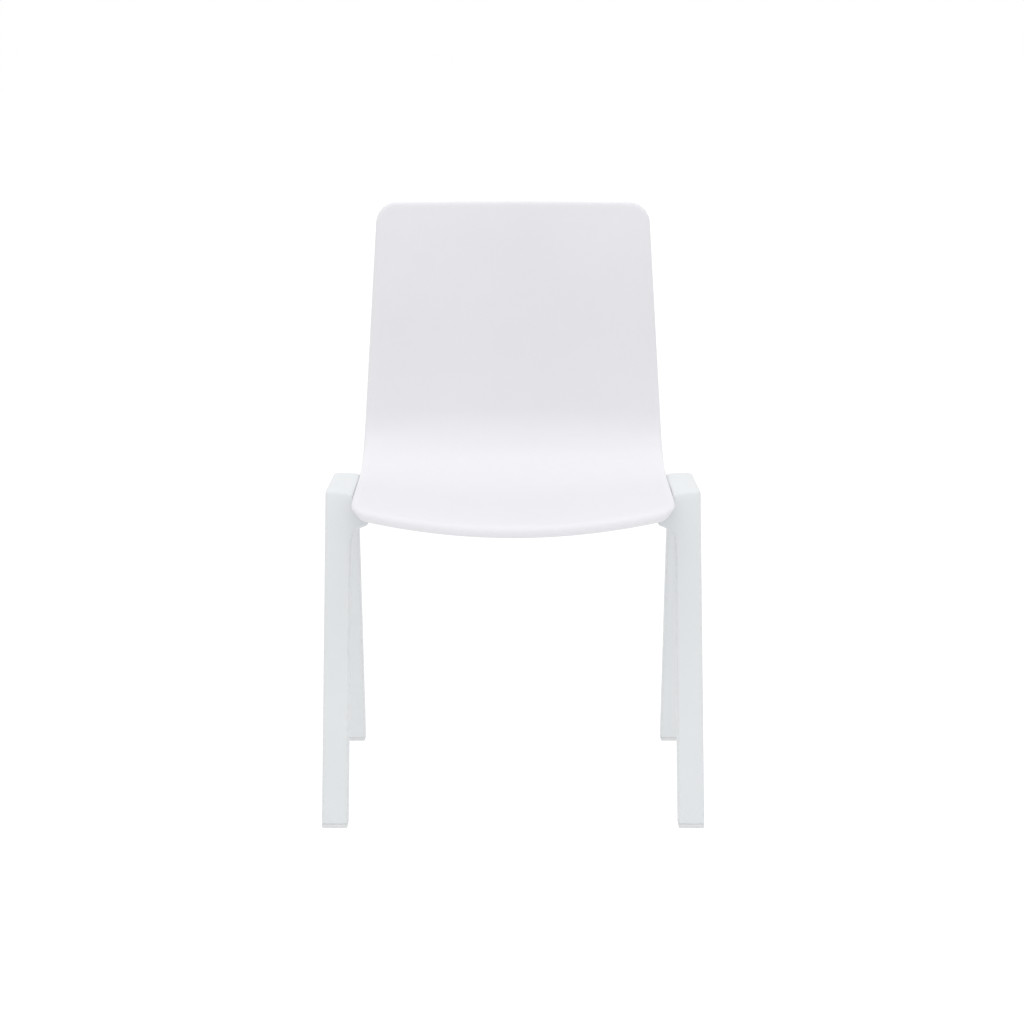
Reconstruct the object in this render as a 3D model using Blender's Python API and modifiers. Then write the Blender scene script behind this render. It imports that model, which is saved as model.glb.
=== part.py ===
"""Stacking chair: a one-piece shell carried between two side frames by two crossbars.

Metres, +Z up. X is across the chair, Y runs from front to back and the chair faces -Y.
The origin lies on the floor under the middle of the chair.
"""
import bisect
import math

import bmesh
import bpy
from mathutils import Matrix, Vector

# Overall form of the side frames, seen from the side
FRAME_HEIGHT = 0.448
FRAME_TOP_DROP = 0.0065
FRONT_FOOT_Y = -0.280
FRAME_TOP_FRONT_Y = -0.124
FRAME_TOP_BACK_Y = 0.086
REAR_FOOT_Y = 0.2555
FRAME_THICKNESS = 0.036
LEG_FOOT_DEPTH = 0.034
LEG_TOP_DEPTH = 0.043
RAIL_DEPTH = 0.050
FRAME_FRONT_RADIUS = 0.006
FRAME_BACK_RADIUS = 0.012
FRAME_INSIDE_RADIUS = 0.025
FRAME_EDGE_RADIUS = 0.003

# Arms that turn inwards from the top of each leg, under the shell
ARM_REACH = 0.0245
ARM_DEPTH = 0.040
ARM_TIP_DROP = 0.0475
ARM_ROOT_DROP = 0.0545
ARM_ARCH_HEIGHT = 0.024
ARM_ARCH_WIDTH = 0.012
ARM_BELOW_SHELL = 0.004
ARM_EDGE_RADIUS = 0.003

# Shell: seat and backrest in one piece
SEAT_WIDTH = 0.4494
SHELL_THICKNESS = 0.0055
SHELL_SIDE_GAP = 0.0043
RIM_BELOW_FRAME = 0.0075
SEAT_DISH = 0.016
DISH_POWER = 2.0
BACK_HOLLOW = 0.020
TOP_HOLLOW = 0.0118
TOP_ARCH = 0.0012
LIP_Y = -0.250
LIP_DROP = 0.0215
RIM_LIP_DROP = 0.0162
LIP_BOW = 0.024
LIP_ROUND = 0.022
LIP_SLOPE = math.radians(72)
SEAT_RISE = 0.009
BEND_Y = 0.100
BEND_SLOPE = math.radians(7)
BEND_LENGTH = 0.094
BEND_RISE = 0.072
BACK_TOP = 0.831
BACK_LEAN = math.radians(12.5)
BACK_TAPER = 0.0510
TAPER_START = 0.060
LIP_HANDLE = 0.012
SEAT_HANDLE = 0.080
BEND_HANDLE = 0.048
BACK_HANDLE = 0.100
FRONT_CORNER_RADIUS = 0.030
TOP_CORNER_RADIUS = 0.030
SHELL_EDGE_RADIUS = 0.0018

# Bosses moulded under the seat, and what is screwed into them
BOSS_X = 0.130
BOSS_DIAMETER = 0.017
INSERT_DIAMETER = 0.0086
INSERT_LENGTH = 0.010
BOSS_BORE_DEPTH = 0.0125

# Flat steel crossbars
BAR_WIDTH = 0.030
BAR_THICKNESS = 0.007
BAR_BELOW_FRAME = 0.0375
BAR_IN_FRAME = 0.016
BAR_CORNER_RADIUS = 0.006
BAR_EDGE_RADIUS = 0.001

# M6 button-head screws and their washers
SCREW_DIAMETER = 0.006
SCREW_HEAD_DIAMETER = 0.011
SCREW_HEAD_HEIGHT = 0.0033
SOCKET_ACROSS_FLATS = 0.004
SOCKET_DEPTH = 0.002
HEAD_FLAT_DIAMETER = 0.0056
SCREW_CHAMFER = 0.0008
SHELL_SCREW_LENGTH = 0.016
BAR_SCREW_WALL = 0.006
BAR_SCREW_SPACING = 0.018
BAR_SCREW_INSET = 0.0125
WASHER_DIAMETER = 0.014
WASHER_THICKNESS = 0.0012
COUNTERBORE_CLEARANCE = 0.0008

# Glides pushed into the ends of the legs
GLIDE_HEIGHT = 0.0050
GLIDE_INNER_STEP = 0.0003
GLIDE_OUTER_STEP = 0.0003
GLIDE_END_STEP = 0.0003
GLIDE_CORNER_RADIUS = 0.003
GLIDE_EDGE_RADIUS = 0.0012
SPIGOT_DIAMETER = 0.012
SPIGOT_LENGTH = 0.020

CLEARANCE = 0.0003
MERGE = 0.00001
BEVEL_ANGLE = math.radians(60)
SMOOTH_ANGLE = math.radians(35)
FLAT_ANGLE = math.radians(0.5)
ARC_STEPS = 5
ROUND_STEPS = 16
HEAD_STEPS = 3
SHELL_COLUMNS = 14
LIP_ROWS = 5
SEAT_ROWS = 6
BEND_ROWS = 7
BACK_ROWS = 6
TOP_ROWS = 4
PROFILE_STEPS = 200

INNER_FACE_X = SEAT_WIDTH / 2 + SHELL_SIDE_GAP
OUTER_FACE_X = INNER_FACE_X + FRAME_THICKNESS
RIM_Z = FRAME_HEIGHT - RIM_BELOW_FRAME
BAR_TOP_Z = FRAME_HEIGHT - BAR_BELOW_FRAME
BAR_BOTTOM_Z = BAR_TOP_Z - BAR_THICKNESS
BAR_HALF_LENGTH = INNER_FACE_X + BAR_IN_FRAME
SIDES = {"left": -1, "right": 1}


# ---------------------------------------------------------------- scene and helpers

for leftover in list(bpy.data.objects):
    bpy.data.objects.remove(leftover, do_unlink=True)

chair = bpy.data.collections.new("stacking_chair")
cutters = bpy.data.collections.new("cutters")
bpy.context.scene.collection.children.link(chair)
bpy.context.scene.collection.children.link(cutters)


def make_material(name, colour, roughness, metallic=0.0):
    """A plain Principled material."""
    material = bpy.data.materials.new(name)
    material.use_nodes = True
    shader = material.node_tree.nodes["Principled BSDF"]
    shader.inputs["Base Color"].default_value = (*colour, 1.0)
    shader.inputs["Roughness"].default_value = roughness
    shader.inputs["Metallic"].default_value = metallic
    return material


def add_object(name, mesh, collection, material=None):
    """Link a mesh as a named object."""
    obj = bpy.data.objects.new(name, mesh)
    collection.objects.link(obj)
    if material is not None:
        obj.data.materials.clear()
        obj.data.materials.append(material)
    if collection is cutters:
        obj.hide_render = True
        obj.display_type = "WIRE"
    return obj


def evaluated_mesh(obj):
    """The object's mesh with its modifiers, welded, with the object's place in it."""
    bpy.context.view_layer.update()
    graph = bpy.context.evaluated_depsgraph_get()
    mesh = bpy.data.meshes.new_from_object(obj.evaluated_get(graph))
    mesh.transform(obj.matrix_world)
    body = bmesh.new()
    body.from_mesh(mesh)
    bmesh.ops.remove_doubles(body, verts=body.verts, dist=MERGE)
    bmesh.ops.dissolve_limit(body, angle_limit=FLAT_ANGLE, verts=body.verts, edges=body.edges)
    bmesh.ops.recalc_face_normals(body, faces=body.faces)
    body.to_mesh(mesh)
    body.free()
    bpy.data.objects.remove(obj, do_unlink=True)
    return mesh


def extruded_mesh(outline, thickness, place):
    """A flat outline given its thickness about its own plane, then put in place."""
    curve = bpy.data.curves.new("outline", "CURVE")
    curve.dimensions = "2D"
    curve.fill_mode = "BOTH"
    curve.extrude = thickness / 2
    spline = curve.splines.new("POLY")
    spline.points.add(len(outline) - 1)
    for point, (u, v) in zip(spline.points, outline):
        point.co = (u, v, 0.0, 1.0)
    spline.use_cyclic_u = True
    obj = add_object("outline", curve, chair)
    obj.matrix_world = place
    return evaluated_mesh(obj)


def cylinder_mesh(diameter, start, end):
    """A round bar between two points."""
    axis = end - start
    turn = axis.to_track_quat("Z", "Y").to_matrix().to_4x4()
    body = bmesh.new()
    bmesh.ops.create_cone(
        body, cap_ends=True, segments=ROUND_STEPS, radius1=diameter / 2, radius2=diameter / 2,
        depth=axis.length, matrix=Matrix.Translation((start + end) / 2) @ turn)
    mesh = bpy.data.meshes.new("cylinder")
    body.to_mesh(mesh)
    body.free()
    return mesh


def box_mesh(low, high):
    """A box between two corners."""
    size = high - low
    body = bmesh.new()
    bmesh.ops.create_cube(
        body, size=1.0, matrix=Matrix.Translation((low + high) / 2) @ Matrix.Diagonal((*size, 1.0)))
    mesh = bpy.data.meshes.new("box")
    body.to_mesh(mesh)
    body.free()
    return mesh


def boolean(obj, mesh, operation):
    """Cut a mesh from an object, or join it on."""
    tool = add_object(f"{obj.name}_{operation.lower()}_{len(obj.modifiers)}", mesh, cutters)
    modifier = obj.modifiers.new(operation.lower(), "BOOLEAN")
    modifier.operation = operation
    modifier.solver = "EXACT"
    modifier.object = tool


def bevel(obj, width, segments):
    """Round the sharp edges of a plate or a block."""
    modifier = obj.modifiers.new("edges", "BEVEL")
    modifier.width = width
    modifier.segments = segments
    modifier.limit_method = "ANGLE"
    modifier.angle_limit = BEVEL_ANGLE


def smooth(mesh):
    """Shade a round piece smooth, keeping its sharp edges."""
    mesh.shade_smooth()
    mesh.set_sharp_from_angle(angle=SMOOTH_ANGLE)


# Planes that a flat outline is put in: its u and v become these world axes
SIDE_PLANE = Matrix(((0, 0, 1, 0), (1, 0, 0, 0), (0, 1, 0, 0), (0, 0, 0, 1)))
FRONT_PLANE = Matrix(((1, 0, 0, 0), (0, 0, -1, 0), (0, 1, 0, 0), (0, 0, 0, 1)))


def rounded(corners):
    """A closed outline from corners given as (u, v, radius)."""
    outline = []
    for index, (u, v, radius) in enumerate(corners):
        corner = Vector((u, v))
        before = Vector(corners[index - 1][:2]) - corner
        after = Vector(corners[(index + 1) % len(corners)][:2]) - corner
        if radius == 0:
            outline.append(corner)
            continue
        opening = before.angle(after)
        middle = corner + (before.normalized() + after.normalized()).normalized() * (
            radius / math.sin(opening / 2))
        start = corner + before.normalized() * (radius / math.tan(opening / 2)) - middle
        sweep = math.pi - opening
        turn = math.copysign(sweep, before.cross(after) * -1)
        for step in range(ARC_STEPS + 1):
            outline.append(middle + Matrix.Rotation(turn * step / ARC_STEPS, 2) @ start)
    return outline


def crossing(a, b, c, d):
    """Where the line a-b crosses the line c-d."""
    along, other = b - a, d - c
    return a + along * ((c - a).cross(other) / along.cross(other))


# ---------------------------------------------------------------- side frames

FRONT_FOOT = Vector((FRONT_FOOT_Y, 0.0))
FRONT_TOP = Vector((FRAME_TOP_FRONT_Y, FRAME_HEIGHT))
REAR_TOP = Vector((FRAME_TOP_BACK_Y, FRAME_HEIGHT - FRAME_TOP_DROP))
REAR_FOOT = Vector((REAR_FOOT_Y, 0.0))


def leg_axis(foot, top, depth_sign):
    """A point in the middle of a leg's foot and the leg's direction, in the side plane."""
    foot_middle = foot + Vector((depth_sign * LEG_FOOT_DEPTH / 2, 0.0))
    top_middle = top + Vector((depth_sign * LEG_TOP_DEPTH / 2, 0.0))
    return foot_middle, (top_middle - foot_middle).normalized()


LEGS = {"front": leg_axis(FRONT_FOOT, FRONT_TOP, 1), "rear": leg_axis(REAR_FOOT, REAR_TOP, -1)}


def frame_outline():
    """The side frame seen from the side: raked leg, top rail, raked leg."""
    floor_a, floor_b = Vector((-1.0, GLIDE_HEIGHT + CLEARANCE)), Vector((1.0, GLIDE_HEIGHT + CLEARANCE))
    foot_depth, top_depth = Vector((LEG_FOOT_DEPTH, 0.0)), Vector((LEG_TOP_DEPTH, 0.0))
    drop = Vector((0.0, -RAIL_DEPTH))
    front_inside = (FRONT_FOOT + foot_depth, FRONT_TOP + top_depth)
    rear_inside = (REAR_FOOT - foot_depth, REAR_TOP - top_depth)
    rail_under = (FRONT_TOP + drop, REAR_TOP + drop)
    corners = (
        (crossing(FRONT_FOOT, FRONT_TOP, floor_a, floor_b), 0.0),
        (FRONT_TOP, FRAME_FRONT_RADIUS),
        (REAR_TOP, FRAME_BACK_RADIUS),
        (crossing(REAR_FOOT, REAR_TOP, floor_a, floor_b), 0.0),
        (crossing(*rear_inside, floor_a, floor_b), 0.0),
        (crossing(*rear_inside, *rail_under), FRAME_INSIDE_RADIUS),
        (crossing(*front_inside, *rail_under), FRAME_INSIDE_RADIUS),
        (crossing(*front_inside, floor_a, floor_b), 0.0),
    )
    return rounded([(place.x, place.y, radius) for place, radius in corners])


def leg_middle(leg, z):
    """Where the middle of a leg's depth lies at a height, in Y."""
    foot, direction = LEGS[leg]
    return foot.x + direction.x * (z - foot.y) / direction.y


def arm_mesh(side, leg):
    """An arm that grows out of the leg's inner face, with an arch below and the leg's rake."""
    root = INNER_FACE_X + FRAME_THICKNESS / 2
    tip = INNER_FACE_X - ARM_REACH
    top = RIM_Z - SHELL_THICKNESS - ARM_BELOW_SHELL
    arch_top = FRAME_HEIGHT - ARM_ROOT_DROP
    outline = [(root, top), (tip, top), (tip, FRAME_HEIGHT - ARM_TIP_DROP)]
    for step in range(ARC_STEPS + 1):
        turn = math.pi / 2 * step / ARC_STEPS
        outline.append((
            INNER_FACE_X - ARM_ARCH_WIDTH + ARM_ARCH_WIDTH * math.sin(turn),
            arch_top - ARM_ARCH_HEIGHT + ARM_ARCH_HEIGHT * math.cos(turn)))
    outline.append((root, arch_top - ARM_ARCH_HEIGHT))
    bar_z = (BAR_BOTTOM_Z + BAR_TOP_Z) / 2
    arm = add_object("arm", extruded_mesh(
        [(x * side, z) for x, z in outline], ARM_DEPTH,
        Matrix.Translation((0.0, leg_middle(leg, bar_z), 0.0)) @ FRONT_PLANE), chair)
    bevel(arm, ARM_EDGE_RADIUS, 1)
    mesh = evaluated_mesh(arm)
    direction = LEGS[leg][1]
    lean = Matrix.Identity(4)
    lean[1][2] = direction.x / direction.y
    centre = Matrix.Translation((0.0, 0.0, bar_z))
    mesh.transform(centre @ lean @ centre.inverted())
    return mesh


BAR_PLACES = {leg: leg_middle(leg, (BAR_BOTTOM_Z + BAR_TOP_Z) / 2) for leg in LEGS}


def slot_mesh(side, bar_y):
    """The pocket that a crossbar's end slides into."""
    near = side * (INNER_FACE_X - 2 * ARM_REACH)
    far = side * (BAR_HALF_LENGTH + CLEARANCE)
    half_width = BAR_WIDTH / 2 + CLEARANCE
    return box_mesh(
        Vector((min(near, far), bar_y - half_width, BAR_BOTTOM_Z - CLEARANCE)),
        Vector((max(near, far), bar_y + half_width, BAR_TOP_Z + CLEARANCE)))


def bar_screw_places(side, bar_y):
    """Where the two screws at one end of a crossbar stand."""
    x = side * (INNER_FACE_X - BAR_SCREW_INSET)
    return [Vector((x, bar_y + offset, 0.0)) for offset in (-BAR_SCREW_SPACING / 2, BAR_SCREW_SPACING / 2)]


def spigot_mesh(side, leg, diameter, length):
    """A round bar up a leg's axis, with its foot cut level half-way up the glide."""
    foot, direction = LEGS[leg]
    axis = Vector((0.0, direction.x, direction.y))
    sole = Vector((side * (INNER_FACE_X + OUTER_FACE_X) / 2, foot.x, 0.0))
    base = sole + axis * (GLIDE_HEIGHT / 2 / axis.z)
    mesh = cylinder_mesh(diameter, base, base + axis * length)
    for vertex in mesh.vertices:
        if (vertex.co - base).dot(axis) < length / 2:
            vertex.co += axis * ((base.z - vertex.co.z) / axis.z)
    return mesh


def add_side_frame(name, side, material):
    """One moulding: both legs, the top rail and the two arms."""
    place = Matrix.Translation((side * (INNER_FACE_X + OUTER_FACE_X) / 2, 0.0, 0.0)) @ SIDE_PLANE
    frame = add_object(name, extruded_mesh(frame_outline(), FRAME_THICKNESS, place), chair, material)
    bevel(frame, FRAME_EDGE_RADIUS, 2)
    for leg, bar_y in BAR_PLACES.items():
        boolean(frame, arm_mesh(side, leg), "UNION")
        boolean(frame, slot_mesh(side, bar_y), "DIFFERENCE")
        head_seat = BAR_BOTTOM_Z - CLEARANCE - BAR_SCREW_WALL
        for spot in bar_screw_places(side, bar_y):
            boolean(frame, cylinder_mesh(
                SCREW_DIAMETER + 2 * CLEARANCE, spot + Vector((0, 0, head_seat - CLEARANCE)),
                spot + Vector((0, 0, BAR_TOP_Z))), "DIFFERENCE")
            boolean(frame, cylinder_mesh(
                SCREW_HEAD_DIAMETER + 2 * COUNTERBORE_CLEARANCE,
                spot + Vector((0, 0, FRAME_HEIGHT - ARM_ROOT_DROP - ARM_ARCH_HEIGHT)),
                spot + Vector((0, 0, head_seat))), "DIFFERENCE")
    for leg in LEGS:
        boolean(frame, spigot_mesh(
            side, leg, SPIGOT_DIAMETER + 2 * CLEARANCE, SPIGOT_LENGTH + CLEARANCE), "DIFFERENCE")
    return frame


# ---------------------------------------------------------------- shell

UP_THE_BACK = math.pi / 2 - BACK_LEAN
BEND_TOP = Vector((BEND_Y + BEND_LENGTH, RIM_Z + SEAT_RISE + BEND_RISE))
RIM_TOP_Y = BEND_TOP.x + (BACK_TOP - BEND_TOP.y) * math.tan(BACK_LEAN)


def knot(y, z, angle, before, after):
    """A place on a profile, with the handles on both sides of it."""
    heading = Vector((math.cos(angle), math.sin(angle)))
    here = Vector((y, z))
    return here - heading * before, here, here + heading * after


def profile(lip_y, lip_drop, seat_z, back_hollow, top_hollow, top_z):
    """The knots of a line up the sitting surface, from the front lip to the top of the back."""
    return (
        knot(lip_y, seat_z - lip_drop, LIP_SLOPE, 0.0, LIP_HANDLE),
        knot(lip_y + LIP_ROUND, seat_z, 0.0, LIP_HANDLE, SEAT_HANDLE),
        knot(BEND_Y, seat_z + SEAT_RISE, BEND_SLOPE, SEAT_HANDLE, BEND_HANDLE),
        knot(BEND_TOP.x + back_hollow, BEND_TOP.y, UP_THE_BACK, BEND_HANDLE, BACK_HANDLE),
        knot(RIM_TOP_Y + top_hollow, top_z, UP_THE_BACK, BACK_HANDLE, 0.0),
    )


RIM = profile(LIP_Y + LIP_BOW, RIM_LIP_DROP, RIM_Z, 0.0, 0.0, BACK_TOP - TOP_ARCH)
MIDDLE = profile(LIP_Y, LIP_DROP, RIM_Z - SEAT_DISH, BACK_HOLLOW, TOP_HOLLOW, BACK_TOP)


def profile_point(knots, place):
    """A point on a profile; place counts its knots, with fractions between them."""
    index = min(int(place), len(knots) - 2)
    t = place - index
    a, b = knots[index][1:]
    c, d = knots[index + 1][:2]
    s = 1 - t
    return a * s ** 3 + b * (3 * s * s * t) + c * (3 * s * t * t) + d * t ** 3


def rim_lengths():
    """The rim's length up to each of many even places on its profile."""
    points = [profile_point(RIM, step / PROFILE_STEPS) for step in range(PROFILE_STEPS * (len(RIM) - 1) + 1)]
    lengths = [0.0]
    for first, second in zip(points, points[1:]):
        lengths.append(lengths[-1] + (second - first).length)
    return lengths


RIM_LENGTHS = rim_lengths()
KNOT_LENGTHS = RIM_LENGTHS[::PROFILE_STEPS]
RIM_LENGTH = RIM_LENGTHS[-1]


def sitting_point(along, across):
    """A point of the sitting surface.

    along is measured up the rim from the lip; across runs from -1 at one rim to 1 at the other.
    """
    index = min(max(bisect.bisect_left(RIM_LENGTHS, along), 1), len(RIM_LENGTHS) - 1)
    share = (along - RIM_LENGTHS[index - 1]) / (RIM_LENGTHS[index] - RIM_LENGTHS[index - 1])
    place = (index - 1 + share) / PROFILE_STEPS
    rim_point = profile_point(RIM, place)
    point = profile_point(MIDDLE, place).lerp(rim_point, abs(across) ** DISH_POWER)
    return Vector((across * half_width(rim_point.y), point.x, point.y))


def half_width(rim_z):
    """Half the shell's width, which tapers up the back."""
    return SEAT_WIDTH / 2 - BACK_TAPER * max(0.0, rim_z - BEND_TOP.y + TAPER_START)


def corner_place(along, across):
    """A place on the square sheet moved so that the sheet's four corners are round."""
    front = along < RIM_LENGTH / 2
    radius = FRONT_CORNER_RADIUS if front else TOP_CORNER_RADIUS
    from_end = along if front else RIM_LENGTH - along
    share = 2 * radius / SEAT_WIDTH
    sideways = (abs(across) - 1 + share) / share
    endways = 1 - from_end / radius
    if sideways <= 0 or endways <= 0:
        return along, across
    rounded_sideways = sideways * math.sqrt(1 - endways ** 2 / 2)
    rounded_endways = endways * math.sqrt(1 - sideways ** 2 / 2)
    from_end = radius * (1 - rounded_endways)
    across = math.copysign(1 - share + share * rounded_sideways, across)
    return (from_end if front else RIM_LENGTH - from_end), across


def row_stations():
    """Where the rows of the shell lie along the rim, closer together where it bends."""
    stations = []
    spans = (
        (0.0, KNOT_LENGTHS[1], LIP_ROWS),
        (KNOT_LENGTHS[1], KNOT_LENGTHS[2], SEAT_ROWS),
        (KNOT_LENGTHS[2], KNOT_LENGTHS[3], BEND_ROWS),
        (KNOT_LENGTHS[3], RIM_LENGTH - TOP_CORNER_RADIUS, BACK_ROWS),
        (RIM_LENGTH - TOP_CORNER_RADIUS, RIM_LENGTH, TOP_ROWS),
    )
    for start, end, rows in spans:
        stations += [start + (end - start) * step / rows for step in range(rows)]
    return stations + [RIM_LENGTH]


def seat_height(x, y):
    """The height of the sitting surface over a point of the seat."""
    low, high = KNOT_LENGTHS[1], KNOT_LENGTHS[3]
    while high - low > CLEARANCE:
        middle = (low + high) / 2
        if sitting_point(middle, 2 * x / SEAT_WIDTH).y < y:
            low = middle
        else:
            high = middle
    return sitting_point(low, 2 * x / SEAT_WIDTH).z


def add_shell(material):
    """The shell, lofted row by row, with the bosses moulded under it."""
    body = bmesh.new()
    columns = [math.sin(math.pi * (column / SHELL_COLUMNS - 0.5)) for column in range(SHELL_COLUMNS + 1)]
    grid = [
        [body.verts.new(sitting_point(*corner_place(along, across))) for across in columns]
        for along in row_stations()]
    for lower, upper in zip(grid, grid[1:]):
        for column in range(SHELL_COLUMNS):
            body.faces.new((lower[column], lower[column + 1], upper[column + 1], upper[column]))
    mesh = bpy.data.meshes.new("seat_shell")
    body.to_mesh(mesh)
    body.free()
    shell = add_object("seat_shell", mesh, chair, material)
    wall = shell.modifiers.new("wall", "SOLIDIFY")
    wall.thickness = SHELL_THICKNESS
    wall.offset = -1.0
    wall.use_even_offset = True
    bevel(shell, SHELL_EDGE_RADIUS, 2)
    smooth(mesh)
    for bar_y in BAR_PLACES.values():
        for side in SIDES.values():
            foot = Vector((side * BOSS_X, bar_y, BAR_TOP_Z + CLEARANCE))
            head = Vector((side * BOSS_X, bar_y, seat_height(side * BOSS_X, bar_y) - SHELL_THICKNESS / 2))
            bore_top = foot + Vector((0.0, 0.0, BOSS_BORE_DEPTH))
            boolean(shell, cylinder_mesh(BOSS_DIAMETER, foot, head), "UNION")
            boolean(shell, cylinder_mesh(
                INSERT_DIAMETER + 2 * CLEARANCE, foot - Vector((0.0, 0.0, CLEARANCE)), bore_top),
                "DIFFERENCE")
    return shell


# ---------------------------------------------------------------- crossbars and fixings

def add_crossbar(name, bar_y, material):
    """A flat steel bar with two tapped holes at each end and two clear holes for the shell."""
    half_length, half_width_y = BAR_HALF_LENGTH, BAR_WIDTH / 2
    corners = [(-half_length, -half_width_y), (half_length, -half_width_y),
               (half_length, half_width_y), (-half_length, half_width_y)]
    outline = rounded([(x, y, BAR_CORNER_RADIUS) for x, y in corners])
    middle = Matrix.Translation((0.0, bar_y, (BAR_TOP_Z + BAR_BOTTOM_Z) / 2))
    bar = add_object(name, extruded_mesh(outline, BAR_THICKNESS, middle), chair, material)
    bevel(bar, BAR_EDGE_RADIUS, 1)
    spots = [Vector((side * BOSS_X, bar_y, 0.0)) for side in SIDES.values()]
    for side in SIDES.values():
        spots += bar_screw_places(side, bar_y)
    for spot in spots:
        boolean(bar, cylinder_mesh(
            SCREW_DIAMETER + 2 * CLEARANCE, spot + Vector((0.0, 0.0, BAR_BOTTOM_Z - BAR_THICKNESS)),
            spot + Vector((0.0, 0.0, BAR_TOP_Z + BAR_THICKNESS))), "DIFFERENCE")
    return bar


def turned_object(name, profile, collection, material=None):
    """A profile at +X, listed from the top down its outer side, turned about Z."""
    mesh = bpy.data.meshes.new(name)
    mesh.from_pydata([(x, 0.0, z) for x, z in profile], [(i, i + 1) for i in range(len(profile) - 1)], [])
    obj = add_object(name, mesh, collection, material)
    turn = obj.modifiers.new("turn", "SCREW")
    turn.steps = ROUND_STEPS
    turn.render_steps = ROUND_STEPS
    turn.use_merge_vertices = True
    turn.merge_threshold = MERGE
    turn.use_smooth_shade = True
    return obj


def screw_mesh(length):
    """A button-head screw, head down, with the seat of its head at the origin."""
    shank, head, flat = SCREW_DIAMETER / 2, SCREW_HEAD_DIAMETER / 2, HEAD_FLAT_DIAMETER / 2
    profile = [(0.0, length), (shank - SCREW_CHAMFER, length), (shank, length - SCREW_CHAMFER),
               (shank, 0.0), (head, 0.0)]
    for step in range(1, HEAD_STEPS):
        turn = math.pi / 2 * step / HEAD_STEPS
        profile.append((flat + (head - flat) * math.cos(turn), -SCREW_HEAD_HEIGHT * math.sin(turn)))
    profile += [(flat, -SCREW_HEAD_HEIGHT), (0.0, -SCREW_HEAD_HEIGHT)]
    screw = turned_object("screw", profile, chair)
    across_corners = SOCKET_ACROSS_FLATS / math.cos(math.pi / 6)
    body = bmesh.new()
    bmesh.ops.create_cone(
        body, cap_ends=True, segments=6, radius1=across_corners / 2, radius2=across_corners / 2,
        depth=2 * SOCKET_DEPTH, matrix=Matrix.Translation((0.0, 0.0, -SCREW_HEAD_HEIGHT)))
    socket = bpy.data.meshes.new("socket")
    body.to_mesh(socket)
    body.free()
    boolean(screw, socket, "DIFFERENCE")
    mesh = evaluated_mesh(screw)
    smooth(mesh)
    return mesh


def ring_mesh(outer, inner, height):
    """A plain ring standing on the origin."""
    profile = [(inner / 2, height), (outer / 2, height), (outer / 2, 0.0), (inner / 2, 0.0),
               (inner / 2, height)]
    return evaluated_mesh(turned_object("ring", profile, chair))


def add_fixings(materials):
    """Inserts, washers and screws, each where its hole is."""
    shell_screw = screw_mesh(SHELL_SCREW_LENGTH)
    bar_screw = screw_mesh(BAR_SCREW_WALL + CLEARANCE + BAR_THICKNESS)
    hole = SCREW_DIAMETER + 2 * CLEARANCE
    insert = ring_mesh(INSERT_DIAMETER, hole, INSERT_LENGTH)
    washer = ring_mesh(WASHER_DIAMETER, hole, WASHER_THICKNESS)
    for bar, bar_y in BAR_PLACES.items():
        for side_name, side in SIDES.items():
            corner = f"{bar}_{side_name}"
            washer_z = BAR_BOTTOM_Z - CLEARANCE - WASHER_THICKNESS
            stack = (
                (f"{corner}_shell_insert", insert, BAR_TOP_Z + 2 * CLEARANCE, materials["brass"]),
                (f"{corner}_shell_washer", washer, washer_z, materials["zinc"]),
                (f"{corner}_shell_screw", shell_screw, washer_z - CLEARANCE, materials["zinc"]),
            )
            for name, mesh, z, material in stack:
                piece = add_object(name, mesh.copy(), chair, material)
                piece.location = (side * BOSS_X, bar_y, z)
            for number, spot in enumerate(bar_screw_places(side, bar_y), start=1):
                piece = add_object(f"{corner}_bar_screw_{number}", bar_screw.copy(), chair, materials["zinc"])
                piece.location = spot + Vector((0.0, 0.0, BAR_BOTTOM_Z - 2 * CLEARANCE - BAR_SCREW_WALL))


# ---------------------------------------------------------------- glides

def add_glide(name, side, leg, material):
    """A moulded foot that carries on the leg's rake, with a spigot up the leg."""
    foot, direction = LEGS[leg]
    near, far = INNER_FACE_X + GLIDE_INNER_STEP, OUTER_FACE_X - GLIDE_OUTER_STEP
    half_depth = LEG_FOOT_DEPTH / 2 - GLIDE_END_STEP
    corners = [(near, -half_depth), (far, -half_depth), (far, half_depth), (near, half_depth)]
    outline = rounded([(x * side, y, GLIDE_CORNER_RADIUS) for x, y in corners][::side])
    lean = Matrix.Identity(4)
    lean[1][2] = direction.x / direction.y
    mesh = extruded_mesh(outline, GLIDE_HEIGHT, Matrix.Translation((0.0, foot.x, GLIDE_HEIGHT / 2)))
    mesh.transform(lean)
    glide = add_object(name, mesh, chair, material)
    bevel(glide, GLIDE_EDGE_RADIUS, 2)
    boolean(glide, spigot_mesh(side, leg, SPIGOT_DIAMETER, SPIGOT_LENGTH), "UNION")
    return glide


# ---------------------------------------------------------------- the chair

steel_zinc = make_material("zinc_plated_steel", (0.62, 0.63, 0.64), 0.35, 1.0)
brass = make_material("brass", (0.78, 0.60, 0.30), 0.35, 1.0)

add_shell(make_material("white_polypropylene", (0.86, 0.86, 0.87), 0.45))
for side_name, side in SIDES.items():
    add_side_frame(
        f"{side_name}_side_frame", side,
        make_material(f"{side_name}_frame_white_polyamide", (0.82, 0.84, 0.85), 0.5))
    for leg in LEGS:
        add_glide(
            f"{leg}_{side_name}_glide", side, leg,
            make_material(f"{leg}_{side_name}_glide_white_nylon", (0.80, 0.82, 0.83), 0.5))
for bar, bar_y in BAR_PLACES.items():
    add_crossbar(
        f"{bar}_crossbar", bar_y,
        make_material(f"{bar}_bar_white_powder_coat", (0.80, 0.81, 0.82), 0.4))
add_fixings({"zinc": steel_zinc, "brass": brass})
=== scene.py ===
import bisect
import math

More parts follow.
